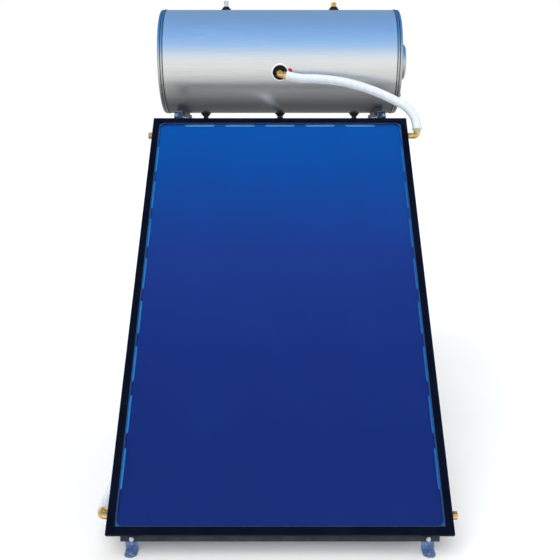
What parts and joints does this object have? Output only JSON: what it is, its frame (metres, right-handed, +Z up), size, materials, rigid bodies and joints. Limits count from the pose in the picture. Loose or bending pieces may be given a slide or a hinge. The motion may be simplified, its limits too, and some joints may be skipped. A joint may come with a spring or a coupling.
{
  "type": "solar water heater",
  "caption": "Thermosiphon solar water heater: flat-plate collector on an inclined steel stand with a horizontal insulated tank above and insulated pipes between them.",
  "frame": {"origin": "on the ground, at the centre of the rectangle of the four anchor holes in the feet", "axes": "+X to the right facing the glass, along the tank; +Y towards the back; +Z up"},
  "size_m": [1.376, 2.086, 2.144],
  "materials": {
    "tank_skin": "brushed",
    "cap_steel": "satin",
    "inner_steel": "satin",
    "foam": "matte",
    "wool": "matte",
    "rubber": "matte",
    "fastener": "bright zinc",
    "magnesium": "dull",
    "plastic_black": "matte",
    "plastic_red": "gloss",
    "brass": "satin",
    "nickel": "bright",
    "frame_black": "satin black",
    "tray_aluminium": "mill",
    "absorber_blue": "selective coating",
    "copper": "copper",
    "glass": "clear",
    "pipe_sleeve": "matte",
    "galvanised": "galvanised",
    "rail_charcoal": "satin"
  },
  "bodies": {
    "stand": {"absorber_plate": "absorber_blue", "anode_rod": "magnesium", "base_bar_left": "galvanised", "base_bar_right": "galvanised", "bottom_nipples": "brass", "brace_a": "galvanised", "brace_b": "galvanised", "cable_gland": "plastic_black", "collector_clamps": "galvanised", "collector_frame_bottom": "frame_black", "collector_frame_left": "frame_black", "collector_frame_right": "frame_black", "collector_frame_top": "frame_black", "collector_insulation": "wool", "collector_tray": "tray_aluminium", "cover_glass": "glass", "end_cap_left": "cap_steel", "end_cap_right": "cap_steel", "feet": "galvanised", "flange_bolts": "fastener", "flange_gasket": "rubber", "flow_elbow_collector": "brass", "flow_elbow_tank": "brass", "flow_pipe": "copper", "flow_sleeve": "pipe_sleeve", "foam_insulation": "foam", "front_grommet": "rubber", "front_rail": "rail_charcoal", "glass_gasket": "rubber", "header_bottom": "copper", "header_grommets": "rubber", "header_plugs": "brass", "header_top": "copper", "heat_jacket": "inner_steel", "heater_flange": "inner_steel", "heating_element": "fastener", "hot_marker": "plastic_red", "hot_outlet_nipple": "brass", "inclined_rail_left": "galvanised", "inclined_rail_right": "galvanised", "inner_vessel": "inner_steel", "port_grommets": "rubber", "rear_leg_left": "galvanised", "rear_leg_right": "galvanised", "relief_valve_body": "nickel", "return_elbow_collector": "brass", "return_elbow_tank": "brass", "return_pipe": "copper", "return_sleeve": "pipe_sleeve", "riser_tubes": "copper", "stand_bolts": "fastener", "tank_cradle_left": "galvanised", "tank_cradle_right": "galvanised", "tank_jacket": "tank_skin", "thermostat_body": "plastic_black", "upper_rail": "galvanised"},
    "service_cover": {"service_cover": "cap_steel", "cover_screws": "fastener"},
    "thermostat_dial": {"thermostat_dial": "plastic_red"},
    "relief_cap": {"relief_valve_cap": "nickel"}
  },
  "joints": [
    {"name": "cover_slide", "type": "slide", "parent": "stand", "child": "service_cover", "axis": [1, 0, 0], "range_m": [0, 0.12]},
    {"name": "dial_turn", "type": "hinge", "parent": "stand", "child": "thermostat_dial", "pos_m": [0.611, 0.77, 1.832], "axis": [1, 0, 0], "range_deg": [0, 270]},
    {"name": "relief_turn", "type": "hinge", "parent": "stand", "child": "relief_cap", "pos_m": [-0.283, 0.77, 2.131], "axis": [0, 0, 1], "range_deg": [0, 90]}
  ]
}
